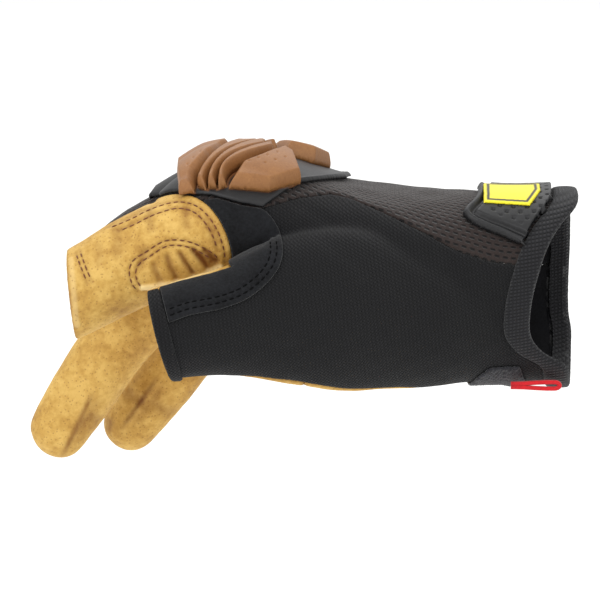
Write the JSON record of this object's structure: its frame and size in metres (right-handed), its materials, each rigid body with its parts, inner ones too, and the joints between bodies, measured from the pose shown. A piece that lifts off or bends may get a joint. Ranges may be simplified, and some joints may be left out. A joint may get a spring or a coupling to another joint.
{
  "type": "mechanic glove",
  "caption": "Right-hand mechanic glove, half closed: tan leather palm, black knit side, brown mesh back, moulded knuckle guard, cut-off thumb, index and middle fingers.",
  "frame": {"origin": "centre of the wrist opening", "axes": "+Z back of the hand, +X out of the wrist opening, -X along the fingers, -Y thumb side"},
  "size_m": [0.1817, 0.1203, 0.117],
  "materials": {
    "tan_leather": "matte full-grain work leather",
    "brown_mesh": "matte air mesh with dark slits",
    "black_knit": "matte ribbed knit",
    "black_suede": "matte synthetic suede",
    "black_rubber": "satin moulded rubber",
    "brown_rubber": "satin moulded rubber",
    "yellow_badge": "satin moulded rubber",
    "cuff_knit": "matte ribbed binding",
    "fuzzy_strip": "matte brushed loop pile",
    "red_ribbon": "woven ribbon"
  },
  "bodies": {
    "root": {"palm_leather": "tan_leather", "index_leather": "tan_leather", "thumb_leather": "tan_leather", "back_mesh": "brown_mesh", "side_knit": "black_knit", "thumb_hem": "black_knit", "web_patch": "black_suede", "knuckle_guard_base": "black_rubber", "wrist_tab": "black_rubber", "wrist_badge": "yellow_badge", "cuff_binding": "cuff_knit", "heel_strip": "fuzzy_strip", "pull_loop": "red_ribbon", "guard_near_front_pad": "brown_rubber", "guard_near_rear_pad": "brown_rubber", "guard_far_front_pad": "brown_rubber", "guard_far_rear_pad": "brown_rubber", "guard_near_rib_1": "brown_rubber", "guard_far_rib_1": "brown_rubber", "guard_near_rib_2": "brown_rubber", "guard_far_rib_2": "brown_rubber", "guard_near_rib_3": "brown_rubber", "guard_far_rib_3": "brown_rubber"}
  },
  "joints": []
}
